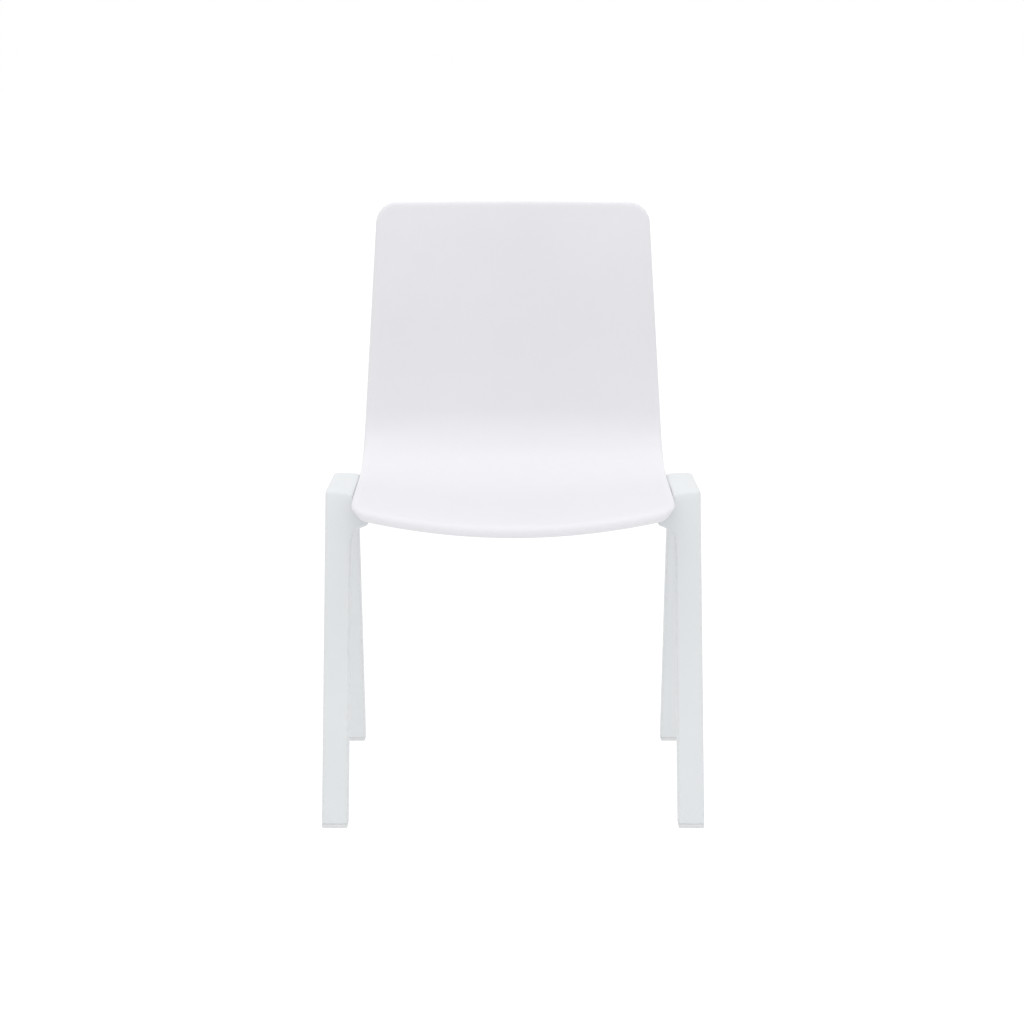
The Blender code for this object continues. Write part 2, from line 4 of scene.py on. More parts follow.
import bmesh
import bpy
import numpy as np
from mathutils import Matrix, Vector


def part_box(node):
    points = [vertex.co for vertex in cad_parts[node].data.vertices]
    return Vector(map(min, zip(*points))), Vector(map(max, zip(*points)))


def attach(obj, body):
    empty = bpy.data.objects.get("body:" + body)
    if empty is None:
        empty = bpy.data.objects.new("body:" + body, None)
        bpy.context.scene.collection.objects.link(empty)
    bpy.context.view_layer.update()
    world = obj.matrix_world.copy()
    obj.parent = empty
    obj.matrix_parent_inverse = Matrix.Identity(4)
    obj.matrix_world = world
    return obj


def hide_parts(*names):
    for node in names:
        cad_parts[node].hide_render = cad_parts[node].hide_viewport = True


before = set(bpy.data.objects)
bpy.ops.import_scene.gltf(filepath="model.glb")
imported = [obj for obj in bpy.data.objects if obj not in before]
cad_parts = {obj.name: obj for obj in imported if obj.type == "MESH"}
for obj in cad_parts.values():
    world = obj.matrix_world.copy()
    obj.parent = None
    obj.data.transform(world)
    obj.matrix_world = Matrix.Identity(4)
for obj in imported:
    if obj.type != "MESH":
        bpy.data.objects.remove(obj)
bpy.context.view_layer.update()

# ---------------------------------------------------------------- seat shell
# One injection moulding in white polypropylene makes the seat and the backrest.
# Its wall is 5.5 mm, with a soft round on the sitting side of the rim and four
# bosses under the seat that take the brass inserts for the crossbar screws.

SEAT_WIDTH = 0.4494
SHELL_WALL = 0.0055
RIM_HEIGHT = 0.4405
SEAT_DISH = 0.016
BACK_HOLLOW = 0.020
TOP_HOLLOW = 0.0115
TOP_ARCH = 0.0012
LIP_Y = -0.250
MIDDLE_LIP_Z = 0.4031
RIM_LIP_Z = 0.4239
LIP_BOW = 0.036
LIP_ROUND = 0.015
LIP_RISE = 0.0145
LIP_SLOPE = math.radians(72)
WATERFALL = math.radians(10)
SEAT_RISE = 0.009
BEND_Y = 0.100
BEND_SLOPE = math.radians(7)
BEND_LENGTH = 0.094
BEND_RISE = 0.072
BACK_TOP = 0.83147
BACK_LEAN = math.radians(12.5)
FOOT_SWEEP = math.radians(3)
BACK_TAPER = 0.0510
TAPER_START = 0.060
LIP_HANDLE = 0.0079
SEAT_HANDLE = 0.080
BEND_HANDLE = 0.048
BACK_HANDLE = 0.100
FRONT_CORNER = (0.0465, 0.0214, 2.3)
TOP_CORNER = (0.031, 0.031, 2.0)
RIM_ROUND_WIDTH = 0.0085
RIM_ROUND_DEPTH = 0.0038
RIM_UNDER_ROUND = 0.0011
RIM_ANGLES = (90, 76, 63, 50, 36, 18, 0)
SHELL_MESH = 0.0044
RIM_TO_SHEET = 0.6
BOSS_X = 0.130
BOSS_RADIUS = 0.0085
BOSS_FLARE = 0.0035
BOSS_EDGE = 0.0006
BOSS_SINK = 0.0004
INSERT_HOLE_RADIUS = 0.0046
INSERT_HOLE_DEPTH = 0.0125
DRILL_OVERRUN = 0.002
SHARP_CORNER = math.radians(38)
EDGE_FADE = 0.6
SEARCH_STEP = 0.0001
FIT = 0.0003
MERGE = 0.00001

UP_THE_BACK = math.pi / 2 - BACK_LEAN
FOOT_OF_BACK = UP_THE_BACK - FOOT_SWEEP
BEND_TOP = Vector((BEND_Y + BEND_LENGTH, RIM_HEIGHT + SEAT_RISE + BEND_RISE))
RIM_TOP_Y = BEND_TOP.x + (BACK_TOP - BEND_TOP.y) * math.tan(BACK_LEAN)
PROFILE_STEPS = 400


def knot(y, z, angle, before, after):
    """A point of a curve with its two handles, which lie along one heading."""
    heading = Vector((math.cos(angle), math.sin(angle)))
    here = Vector((y, z))
    return here - heading * before, here, here + heading * after


def shell_profile(lip_y, lip_z, seat_z, back_hollow, top_hollow, top_z):
    """A line up the sitting side, from the front lip to the top of the back."""
    return (
        knot(lip_y, lip_z, LIP_SLOPE, 0.0, LIP_HANDLE),
        knot(lip_y + LIP_ROUND, lip_z + LIP_RISE, WATERFALL, LIP_HANDLE, SEAT_HANDLE),
        knot(BEND_Y, seat_z, BEND_SLOPE, SEAT_HANDLE, BEND_HANDLE),
        knot(BEND_TOP.x + back_hollow, BEND_TOP.y, FOOT_OF_BACK, BEND_HANDLE, BACK_HANDLE),
        knot(RIM_TOP_Y + top_hollow, top_z, UP_THE_BACK, BACK_HANDLE, 0.0),
    )


RIM_LINE = shell_profile(LIP_Y + LIP_BOW, RIM_LIP_Z, RIM_HEIGHT + SEAT_RISE, 0.0, 0.0, BACK_TOP - TOP_ARCH)
MIDDLE_LINE = shell_profile(
    LIP_Y, MIDDLE_LIP_Z, RIM_HEIGHT + SEAT_RISE - SEAT_DISH, BACK_HOLLOW, TOP_HOLLOW, BACK_TOP)


def on_profile(knots, place):
    """The point at a place on a curve, where whole numbers are its knots."""
    index = min(int(place), len(knots) - 2)
    t = place - index
    a, b = knots[index][1:]
    c, d = knots[index + 1][:2]
    s = 1 - t
    return a * s ** 3 + b * (3 * s * s * t) + c * (3 * s * t * t) + d * t ** 3


rim_steps = [on_profile(RIM_LINE, step / PROFILE_STEPS)
             for step in range(PROFILE_STEPS * (len(RIM_LINE) - 1) + 1)]
rim_run = [0.0]
for first, second in zip(rim_steps, rim_steps[1:]):
    rim_run.append(rim_run[-1] + (second - first).length)
RIM_LENGTH = rim_run[-1]
LIP_RUN, BEND_RUN = rim_run[PROFILE_STEPS], rim_run[PROFILE_STEPS * 3]


def sitting_point(along, across):
    """A point of the sitting side: along runs up the rim in metres, across from rim to rim, -1 to 1."""
    along = min(max(along, 0.0), RIM_LENGTH)
    index = min(max(bisect.bisect_left(rim_run, along), 1), len(rim_run) - 1)
    share = (along - rim_run[index - 1]) / (rim_run[index] - rim_run[index - 1])
    place = (index - 1 + share) / PROFILE_STEPS
    rim_point = on_profile(RIM_LINE, place)
    point = on_profile(MIDDLE_LINE, place).lerp(rim_point, across * across)
    half_width = SEAT_WIDTH / 2 - BACK_TAPER * max(0.0, rim_point.y - BEND_TOP.y + TAPER_START)
    return Vector((across * half_width, point.x, point.y))


def sitting_normal(along, across):
    """The way the sitting side faces at a point."""
    step = 0.0005
    low, high = max(along - step, 0.0), min(along + step, RIM_LENGTH)
    up = sitting_point(high, across) - sitting_point(low, across)
    sideways = sitting_point(along, across + step) - sitting_point(along, across - step)
    return sideways.cross(up).normalized()


def rounded_sheet(along, across):
    """A place of the square sheet moved so that its corners are round, and how far in from the rim it is."""
    front = along < RIM_LENGTH / 2
    length, width, power = FRONT_CORNER if front else TOP_CORNER
    from_end = along if front else RIM_LENGTH - along
    from_side = (1 - abs(across)) * SEAT_WIDTH / 2
    endways, sideways = 1 - from_end / length, 1 - from_side / width
    if sideways <= 0 or endways <= 0:
        return along, across, min(from_end, from_side)
    reach = max(endways, sideways)
    turn = math.pi / 4 * (endways / sideways if sideways > endways else 2 - sideways / endways)
    out = (math.sin(turn) ** power + abs(math.cos(turn)) ** power) ** (-1 / power)
    endways, sideways = out * math.sin(turn), out * abs(math.cos(turn))
    inset = (1 - reach) / math.hypot(endways ** (power - 1) / length, sideways ** (power - 1) / width)
    from_end, from_side = length * (1 - reach * endways), width * (1 - reach * sideways)
    across = math.copysign(1 - 2 * from_side / SEAT_WIDTH, across)
    return (from_end if front else RIM_LENGTH - from_end), across, inset


def rounding(inset, width, depth):
    """How far an elliptical round has dropped at a distance in from the edge."""
    return depth * (1 - math.sqrt(max(0.0, 1 - ((width - inset) / width) ** 2))) if inset < width else 0.0


def sheet_stations(length, finest):
    """Stations over a length, close together where the rim rounds at its two ends."""
    ends = [RIM_ROUND_WIDTH * (1 - math.sin(math.radians(angle))) for angle in RIM_ANGLES]
    inner = ends[-1] + finest * RIM_TO_SHEET
    count = round((length - 2 * inner) / finest)
    middle = [inner + (length - 2 * inner) * step / count for step in range(count + 1)]
    return ends + middle + [length - place for place in reversed(ends)]


def mesh_from(name, body):
    mesh = bpy.data.meshes.new(name)
    body.to_mesh(mesh)
    body.free()
    return mesh


def link(name, mesh, material=None):
    obj = bpy.data.objects.new(name, mesh)
    bpy.context.scene.collection.objects.link(obj)
    if material is not None:
        mesh.materials.clear()
        mesh.materials.append(material)
    return obj


def ring_stack(rings):
    """A closed solid skinned over rings of points, listed from the bottom up."""
    body = bmesh.new()
    loops = [[body.verts.new(point) for point in ring] for ring in rings]
    for lower, upper in zip(loops, loops[1:]):
        count = len(lower)
        for index in range(count):
            after = (index + 1) % count
            body.faces.new((lower[index], lower[after], upper[after], upper[index]))
    body.faces.new(loops[0][::-1])
    body.faces.new(loops[-1])
    bmesh.ops.recalc_face_normals(body, faces=body.faces)
    return body


def circle(centre, radius, z, steps=48):
    return [Vector((centre.x + radius * math.cos(math.tau * step / steps),
                    centre.y + radius * math.sin(math.tau * step / steps), z)) for step in range(steps)]


def plug(centre, radius, low, high, steps=48):
    """A round bar standing between two heights, to drill a hole with."""
    return ring_stack([circle(centre, radius, z, steps) for z in (low, high)])


def cut_or_join(obj, bodies, operation):
    """Cut meshes from a piece, or join them on, and keep the result as its plain mesh."""
    tools = [link("tool", mesh_from("tool", body)) for body in bodies]
    for tool in tools:
        modifier = obj.modifiers.new("tool", "BOOLEAN")
        modifier.operation = operation
        modifier.solver = "EXACT"
        modifier.object = tool
    settle(obj)
    for tool in tools:
        bpy.data.objects.remove(tool, do_unlink=True)


def settle(obj):
    """Turn a piece's modifiers into its plain mesh."""
    bpy.context.view_layer.update()
    graph = bpy.context.evaluated_depsgraph_get()
    mesh = bpy.data.meshes.new_from_object(obj.evaluated_get(graph))
    obj.modifiers.clear()
    obj.data = mesh


def shade(obj):
    """Smooth shading, with the corners that are really sharp left sharp."""
    obj.data.shade_smooth()
    obj.data.set_sharp_from_angle(angle=SHARP_CORNER)


def mark_edges(obj, reach, passes):
    """Give each vertex a value from 0 to 1 for how far it stands out on an edge, where hands rub it and
    where the plastics paint edge shade.
    """
    mesh = obj.data
    count = len(mesh.vertices)
    co = np.empty(count * 3, np.float64)
    mesh.vertices.foreach_get("co", co)
    co = co.reshape(-1, 3)
    normal = np.empty(count * 3, np.float64)
    mesh.vertex_normals.foreach_get("vector", normal)
    normal = normal.reshape(-1, 3)
    ends = np.empty(len(mesh.edges) * 2, np.int64)
    mesh.edges.foreach_get("vertices", ends)
    a, b = ends.reshape(-1, 2).T
    along = co[b] - co[a]
    length = np.maximum(np.linalg.norm(along, axis=1), 1e-7)
    bend = np.einsum("ij,ij->i", normal[b] - normal[a], along) / length ** 2
    total = np.zeros(count)
    for end in (a, b):
        np.maximum.at(total, end, bend)
    value = np.clip(total * reach, 0, 1)
    for _ in range(passes):
        spread, weight = value.copy(), np.ones(count)
        for near, far in ((a, b), (b, a)):
            np.add.at(spread, near, value[far])
            np.add.at(weight, near, 1)
        value = np.maximum(value * EDGE_FADE, spread / weight)
    layer = mesh.attributes.new("edge", "FLOAT", "POINT")
    layer.data.foreach_set("value", np.clip(value, 0, 1).astype(np.float32))


def shell_body():
    """The wall, from its sitting side and its underside, joined round the rim."""
    rows = sheet_stations(RIM_LENGTH, SHELL_MESH)
    columns = [place * 2 / SEAT_WIDTH - 1 for place in sheet_stations(SEAT_WIDTH, SHELL_MESH)]
    body = bmesh.new()
    sitting, under = [], []
    for row in rows:
        sitting.append([])
        under.append([])
        for column in columns:
            along, across, inset = rounded_sheet(row, column)
            point, normal = sitting_point(along, across), sitting_normal(along, across)
            drop = rounding(inset, RIM_ROUND_WIDTH, RIM_ROUND_DEPTH)
            rise = rounding(inset, RIM_UNDER_ROUND, RIM_UNDER_ROUND)
            sitting[-1].append(body.verts.new(point - normal * drop))
            under[-1].append(body.verts.new(point - normal * (SHELL_WALL - rise)))
    last_row, last_column = len(rows) - 1, len(columns) - 1
    for row in range(last_row):
        for column in range(last_column):
            for grid, way in ((sitting, 1), (under, -1)):
                near, far = grid[row], grid[row + 1]
                corners = (near[column], near[column + 1], far[column + 1], far[column])
                body.faces.new(corners[::way])
    border = [(0, column) for column in range(last_column)]
    border += [(row, last_column) for row in range(last_row)]
    border += [(last_row, column) for column in range(last_column, 0, -1)]
    border += [(row, 0) for row in range(last_row, 0, -1)]
    for (row, column), (next_row, next_column) in zip(border, border[1:] + border[:1]):
        body.faces.new((
            sitting[next_row][next_column], sitting[row][column],
            under[row][column], under[next_row][next_column]))
    return body


def under_seat_height(x, y):
    """The height of the seat's underside over a point."""
    low, high = LIP_RUN, BEND_RUN
    while high - low > SEARCH_STEP:
        middle = (low + high) / 2
        if sitting_point(middle, 2 * x / SEAT_WIDTH).y < y:
            low = middle
        else:
            high = middle
    return sitting_point(low, 2 * x / SEAT_WIDTH).z - SHELL_WALL


BARS = {}
for place in ("front", "rear"):
    low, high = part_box(f"{place}_crossbar")
    BARS[place] = {"y": (low.y + high.y) / 2, "half_width": (high.y - low.y) / 2,
                   "bottom": low.z, "top": high.z, "end": high.x}

shell = link("shell", mesh_from("shell", shell_body()))
bosses, holes = [], []
for bar in BARS.values():
    for side in (-1, 1):
        centre = Vector((side * BOSS_X, bar["y"]))
        foot = bar["top"] + FIT
        root = under_seat_height(side * BOSS_X, bar["y"])
        rings = [circle(centre, BOSS_RADIUS - BOSS_EDGE, foot)]
        rings.append(circle(centre, BOSS_RADIUS, foot + BOSS_EDGE))
        for angle in range(0, 91, 15):
            turn = math.radians(angle)
            rings.append(circle(
                centre, BOSS_RADIUS + BOSS_FLARE * (1 - math.cos(turn)),
                root - BOSS_FLARE * (1 - math.sin(turn)) + BOSS_SINK))
        rings.append(circle(centre, BOSS_RADIUS + BOSS_FLARE, root + SHELL_WALL / 2))
        bosses.append(ring_stack(rings))
        holes.append(plug(centre, INSERT_HOLE_RADIUS, foot - DRILL_OVERRUN, foot + INSERT_HOLE_DEPTH))
cut_or_join(shell, bosses, "UNION")
cut_or_join(shell, holes, "DIFFERENCE")
shade(shell)
mark_edges(shell, 0.0009, 1)


class Wire:
    """An output of a node. Arithmetic on it adds Math nodes."""

    def __init__(self, work, socket):
        self.work, self.socket = work, socket

    def math(self, operation, *values):
        return self.work.node("ShaderNodeMath", {"operation": operation}, *values)

    def __add__(self, other):
        return self.math("ADD", self, other)

    def __sub__(self, other):
        return self.math("SUBTRACT", self, other)

    def __rsub__(self, other):
        return self.math("SUBTRACT", other, self)

    def __mul__(self, other):
        return self.math("MULTIPLY", self, other)

    def __truediv__(self, other):
        return self.math("DIVIDE", self, other)

    __radd__, __rmul__ = __add__, __mul__

    def clipped(self):
        return self.work.node("ShaderNodeClamp", {}, self)

    def step(self, low, high):
        """0 below low, 1 above high and a soft slope between."""
        return self.work.node("ShaderNodeMapRange", {"interpolation_type": "SMOOTHSTEP"}, self, low, high)


class Work:
    """A node tree being built up, for a finish or for fixings."""

    def __init__(self, tree):
        self.tree = tree

    def node(self, kind, settings, *values, output=0, **named):
        made = self.tree.nodes.new(kind)
        for key, value in settings.items():
            setattr(made, key, value)
        sockets = [(made.inputs[index], value) for index, value in enumerate(values)]
        sockets += [(made.inputs[name.replace("_", " ")], value) for name, value in named.items()]
        for socket, value in sockets:
            if isinstance(value, Wire):
                self.tree.links.new(value.socket, socket)
            else:
                socket.default_value = value
        return Wire(self, made.outputs[output])


class Finish(Work):
    """A Principled material, named for the stuff it stands for."""

    def __init__(self, name, roughness, metallic=0.0):
        self.material = bpy.data.materials.new(name)
        self.material.use_nodes = True
        super().__init__(self.material.node_tree)
        self.shader = self.tree.nodes["Principled BSDF"]
        self.shader.inputs["Roughness"].default_value = roughness
        self.shader.inputs["Metallic"].default_value = metallic
        self.place = self.node("ShaderNodeTexCoord", {}, output="Object")

    def noise(self, scale, detail=2.0):
        return self.node("ShaderNodeTexNoise", {}, self.place, Scale=scale, Detail=detail)

    def cells(self, scale, smoothness):
        return self.node(
            "ShaderNodeTexVoronoi", {"feature": "SMOOTH_F1"}, self.place, Scale=scale, Smoothness=smoothness,
            output="Distance")

    def part_of(self, axis):
        return self.node("ShaderNodeSeparateXYZ", {}, self.place, output=axis)

    def mark(self, name):
        return self.node("ShaderNodeAttribute", {"attribute_name": name}, output="Fac")

    def blend(self, share, low, high):
        """A mix of two colours, with the Mix node's sockets found by identifier, as names repeat."""
        made = self.tree.nodes.new("ShaderNodeMix")
        made.data_type = "RGBA"
        for name, value in (("Factor_Float", share), ("A_Color", low), ("B_Color", high)):
            socket = next(s for s in made.inputs if s.identifier == name)
            if isinstance(value, Wire):
                self.tree.links.new(value.socket, socket)
            else:
                socket.default_value = value if name == "Factor_Float" else (*value, 1.0)
        return Wire(self, next(s for s in made.outputs if s.identifier == "Result_Color"))

    def set(self, **wires):
        for name, wire in wires.items():
            self.tree.links.new(wire.socket, self.shader.inputs[name.replace("_", " ")])

    def relief(self, height, distance, strength, normal=None):
        named = {"Normal": normal} if normal else {}
        return self.node("ShaderNodeBump", {}, Strength=strength, Distance=distance, Height=height, **named)


# Tints of the base colour. The second darkest serves specks and painted edge shade, and the brightest is
# painted light.
SHADOW, LIGHT, SPECK_AND_EDGE_SHADE_TINT, PAINTED_LIGHT_TINT = 0.985, 1.012, 0.90, 1.10


def tinted(colour, share):
    return [part * share for part in colour]


def moulded_plastic(name, colour, grain, roughness, sheen_spot=None, painted_light_share=None):
    """White moulded plastic: a fine spark-eroded grain, faint cloudiness, darker specks, edges that hands
    have worn smoother and that are painted darker as edge shade, and, where given, painted light.
    """
    finish = Finish(name, roughness)
    cloud = finish.noise(5.0, 3.0)
    flow = finish.noise(38.0, 2.0)
    specks = finish.noise(1100.0, 1.0)
    pits = finish.cells(grain, 0.6)
    fine = finish.noise(grain * 2.6, 2.0)
    rubbed_and_shaded_edges = (finish.mark("edge") * finish.noise(140.0, 3.0).step(0.38, 0.68)).clipped()
    base = finish.blend(cloud.step(0.3, 0.7), tinted(colour, SHADOW), tinted(colour, LIGHT))
    base = finish.blend(flow.step(0.35, 0.8) * 0.35, base, tinted(colour, SHADOW))
    base = finish.blend(specks.step(0.62, 0.8) * 0.10, base, tinted(colour, SPECK_AND_EDGE_SHADE_TINT))
    # Painted shade: the edges are painted darker as a dark outline, on top of the real rubbing that smooths
    # them below.
    base = finish.blend(rubbed_and_shaded_edges * 0.55, base, tinted(colour, SPECK_AND_EDGE_SHADE_TINT))
    # Painted light: where a share is given, the colour is made brighter, as if more light fell there.
    if painted_light_share:
        base = finish.blend(painted_light_share(finish), base, tinted(colour, PAINTED_LIGHT_TINT))
    rough = roughness - 0.05 + cloud * 0.06 + pits * 0.10 - rubbed_and_shaded_edges * 0.12
    if sheen_spot:
        centre, size = sheen_spot
        away = finish.node("ShaderNodeVectorMath", {"operation": "SUBTRACT"}, finish.place, centre)
        away = finish.node("ShaderNodeVectorMath", {"operation": "DIVIDE"}, away, size)
        reach = finish.node("ShaderNodeVectorMath", {"operation": "LENGTH"}, away, output="Value")
        worn = 1 - reach.step(0.55, 1.0)
        rough = rough - worn * finish.noise(24.0, 3.0) * 0.10
    waves = finish.relief(flow, 0.0004, 0.10)
    grained = finish.relief(pits * 0.7 + fine * 0.5 - rubbed_and_shaded_edges * 0.3, 0.00009, 0.55, waves)
    finish.set(Base_Color=base, Roughness=rough.clipped(), Normal=grained)
    return finish.material


SHELL_WHITE = (0.667, 0.665, 0.691)


def painted_light_at_the_bend(finish):
    """A share of painted light over the seat and the lower back, most at the bend: a brighter tone where the
    overhead light falls, not a shape.
    """
    y, z = finish.part_of("Y"), finish.part_of("Z")
    return (1 - z.step(0.50, 0.66)) * 0.45 + y.step(-0.10, 0.11) * (1 - z.step(0.448, 0.475)) * 0.5


# The shell's finish carries painted light, brighter over the seat and the lower back and most at the bend.
shell.data.materials.append(moulded_plastic(
    "satin_white_polypropylene", SHELL_WHITE, 1500.0, 0.46,
    sheen_spot=((0.0, -0.04, 0.43), (0.20, 0.20, 0.10)), painted_light_share=painted_light_at_the_bend))
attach(shell, "root")
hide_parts("seat_shell")


# ---------------------------------------------------------------- side frames
# Each side is one thick moulding in glass-filled polyamide: two raked legs and a
# top rail, with an arm at each leg that turns in under the shell to hold a crossbar.
# Every edge is rounded, and the arms flow out of the legs with wide fillets.

FRAME_THICKNESS = 0.036
FRAME_TOP_FRONT = Vector((-0.124, 0.448))
FRAME_TOP_REAR = Vector((0.086, 0.4415))
FRONT_FOOT_Y, REAR_FOOT_Y = -0.280, 0.2555
LEG_FOOT_DEPTH, LEG_TOP_DEPTH = 0.034, 0.043
RAIL_DEPTH = 0.050
INSIDE_BEND = 0.043
EDGE_LOOP = 0.0053
SOLE_LOOP = 0.0008
RAIL_INSIDE_X = 0.2255
RAIL_INSIDE_LOOP = 0.0026
FRONT_TOP_PULL = 0.0013
INNER_FRONT_DIP = 0.0062
INNER_REAR_DIP = 0.0028
REAR_TOP_RADIUS = 0.010
REAR_TOP_LIFT = 0.0013
REAR_EDGE_PULL = 0.0016
REAR_EDGE_LOOP = 0.0075
REAR_TOP_PULL = 0.0025
TOP_CROWN = 0.0013
FRONT_CROWN_SHARE = 0.4
DIP_SHARE = 0.3
ARM_TOP = 0.431
ARM_TIP_UNDER = 0.4008
ARM_ROOT_UNDER = 0.3922
ARM_SETBACK = 0.0008
SHIN_Z, CALF_Z, KNEE_Z = 0.12, 0.24, 0.352
EDGE_WIDENS_OVER = 0.06
ARM_WALL = 0.003
SCREW_PAIR_SPACING = 0.018
SCREW_PAIR_INSET = 0.0125
COUNTERBORE_RADIUS = 0.0063
COUNTERBORE_REACH = 0.03
POCKET_OVERRUN = 0.02

frame_low, frame_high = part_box("right_side_frame")
OUTER_X = frame_high.x
ARM_TIP_X = frame_low.x
INNER_X = OUTER_X - FRAME_THICKNESS
LEG_BOTTOM = frame_low.z


def leg_lines(z):
    """Where the four edges of the two legs lie at a height, from front to back."""
    front = FRONT_FOOT_Y + (FRAME_TOP_FRONT.x - FRONT_FOOT_Y) * z / FRAME_TOP_FRONT.y
    rear = REAR_FOOT_Y + (FRAME_TOP_REAR.x - REAR_FOOT_Y) * z / FRAME_TOP_REAR.y
    front_depth = LEG_FOOT_DEPTH + (LEG_TOP_DEPTH - LEG_FOOT_DEPTH) * z / FRAME_TOP_FRONT.y
    rear_depth = LEG_FOOT_DEPTH + (LEG_TOP_DEPTH - LEG_FOOT_DEPTH) * z / FRAME_TOP_REAR.y
    return front, front + front_depth, rear - rear_depth, rear


def cage_lines(z):
    """Where the ten lines of the cage lie at a height, from front to back."""
    a, b, c, d = leg_lines(z)
    return (a, a + EDGE_LOOP, b - EDGE_LOOP, b, b + INSIDE_BEND,
            c - INSIDE_BEND, c, c + EDGE_LOOP, d - EDGE_LOOP, d)


def top_line(y):
    """The height of the frame's sloping top."""
    share = (y - FRAME_TOP_FRONT.x) / (FRAME_TOP_REAR.x - FRAME_TOP_FRONT.x)
    return FRAME_TOP_FRONT.y + (FRAME_TOP_REAR.y - FRAME_TOP_FRONT.y) * share


# Rows of the cage from the sole up: five on the leg, then six of the rail and its arms
LEG_ROWS = (LEG_BOTTOM, LEG_BOTTOM + SOLE_LOOP, SHIN_Z, CALF_Z, KNEE_Z)
UNDER, UNDER_LOOP, ARM_TOP_LOOP, ARM_TOP_ROW, TOP_LOOP, TOP = range(len(LEG_ROWS), len(LEG_ROWS) + 6)
ROW_BELOW_TOP = {UNDER: RAIL_DEPTH, UNDER_LOOP: RAIL_DEPTH - EDGE_LOOP, TOP_LOOP: EDGE_LOOP, TOP: 0.0}
ROW_HEIGHT = {ARM_TOP_LOOP: ARM_TOP - EDGE_LOOP, ARM_TOP_ROW: ARM_TOP}
REAR_TURN = {ARM_TOP_ROW: math.radians(7), TOP_LOOP: math.radians(36), TOP: math.radians(62)}


def cage_point(i, j, k):
    """A corner of the side frame's cage: i runs inwards, j from front to back, k upwards."""
    z = LEG_ROWS[k] if k < UNDER else FRAME_TOP_FRONT.y
    for _ in range(3):
        y = cage_lines(z)[j]
        if k >= UNDER:
            z = ROW_HEIGHT[k] if k in ROW_HEIGHT else top_line(y) - ROW_BELOW_TOP[k]
    x = (OUTER_X, OUTER_X - EDGE_LOOP, INNER_X + EDGE_LOOP, INNER_X,
         ARM_TIP_X + EDGE_LOOP, ARM_TIP_X)[i]
    inward = -1 if i == 0 else 1
    inward_loop = -1 if i == 1 else 1
    # The arms grow shallower towards their tips
    if i >= 4:
        share = (INNER_X - x) / (INNER_X - ARM_TIP_X)
        under = ARM_ROOT_UNDER + (ARM_TIP_UNDER - ARM_ROOT_UNDER) * share
        z = {UNDER: under, UNDER_LOOP: under + EDGE_LOOP}.get(k, z)
        y = cage_lines(z)[j] + ARM_SETBACK * share * (1 if j in (0, 1, 6, 7) else -1)
        return Vector((x, y, z))
    # The rail's underside drops to the root of an arm
    if k == UNDER and i == 3 and j not in (4, 5):
        z = ARM_ROOT_UNDER
        y = cage_lines(z)[j]
    # The top is crowned, with a softer front edge, and its inner side stands close to the shell
    if k == TOP and j == 0:
        y += FRONT_TOP_PULL
        z -= FRONT_TOP_PULL
    if k == TOP and i in (1, 2):
        z += TOP_CROWN * (1 if j >= 6 else FRONT_CROWN_SHARE)
    if i in (2, 3) and k >= ARM_TOP_ROW:
        x += RAIL_INSIDE_X - INNER_X
    if k == TOP and i == 2:
        x -= EDGE_LOOP - RAIL_INSIDE_LOOP
    if k == TOP_LOOP and i == 3:
        z += EDGE_LOOP - RAIL_INSIDE_LOOP
    if k >= TOP_LOOP and i in (2, 3):
        dip = {0: INNER_FRONT_DIP, 1: INNER_FRONT_DIP, 2: INNER_FRONT_DIP / 2}.get(j, INNER_REAR_DIP)
        z -= dip * (1 if i == 3 else DIP_SHARE)
    # The rear edge of the shoulder is rounder than the leg's, and turns over to the top in an arc
    high_up = min(1.0, max(0.0, (z - KNEE_Z) / EDGE_WIDENS_OVER))
    if j == 9:
        if i in (0, 3):
            y -= REAR_EDGE_PULL * high_up
            x += inward * REAR_EDGE_PULL * high_up
        else:
            x += inward_loop * (REAR_EDGE_LOOP - EDGE_LOOP) * high_up
        if k in REAR_TURN:
            y -= REAR_TOP_RADIUS * (1 - math.cos(REAR_TURN[k]))
            above_top = z - top_line(y) if k == TOP and i in (0, 3) else 0
            z = FRAME_TOP_REAR.y - REAR_TOP_RADIUS * (1 - math.sin(REAR_TURN[k])) + above_top
        if k >= TOP_LOOP:
            z += REAR_TOP_LIFT
    if j == 8:
        y -= (REAR_EDGE_LOOP - EDGE_LOOP) * high_up
        if k == TOP:
            y -= REAR_TOP_PULL
            z += REAR_TOP_LIFT
    return Vector((x, y, z))


def caged_solid(cells, place):
    """The outside of a block of cells, each corner put where it belongs."""
    sides = (
        ((-1, 0, 0), ((0, 0, 0), (0, 0, 1), (0, 1, 1), (0, 1, 0))),
        ((1, 0, 0), ((1, 0, 0), (1, 1, 0), (1, 1, 1), (1, 0, 1))),
        ((0, -1, 0), ((0, 0, 0), (1, 0, 0), (1, 0, 1), (0, 0, 1))),
        ((0, 1, 0), ((0, 1, 0), (0, 1, 1), (1, 1, 1), (1, 1, 0))),
        ((0, 0, -1), ((0, 0, 0), (0, 1, 0), (1, 1, 0), (1, 0, 0))),
        ((0, 0, 1), ((0, 0, 1), (1, 0, 1), (1, 1, 1), (0, 1, 1))))
    body, corners = bmesh.new(), {}
    for cell in sorted(cells):
        for step, face in sides:
            if tuple(c + s for c, s in zip(cell, step)) in cells:
                continue
            around = []
            for offset in face:
                corner = tuple(c + o for c, o in zip(cell, offset))
                if corner not in corners:
                    corners[corner] = body.verts.new(place(*corner))
                around.append(corners[corner])
            body.faces.new(around)
    bmesh.ops.recalc_face_normals(body, faces=body.faces)
    return body


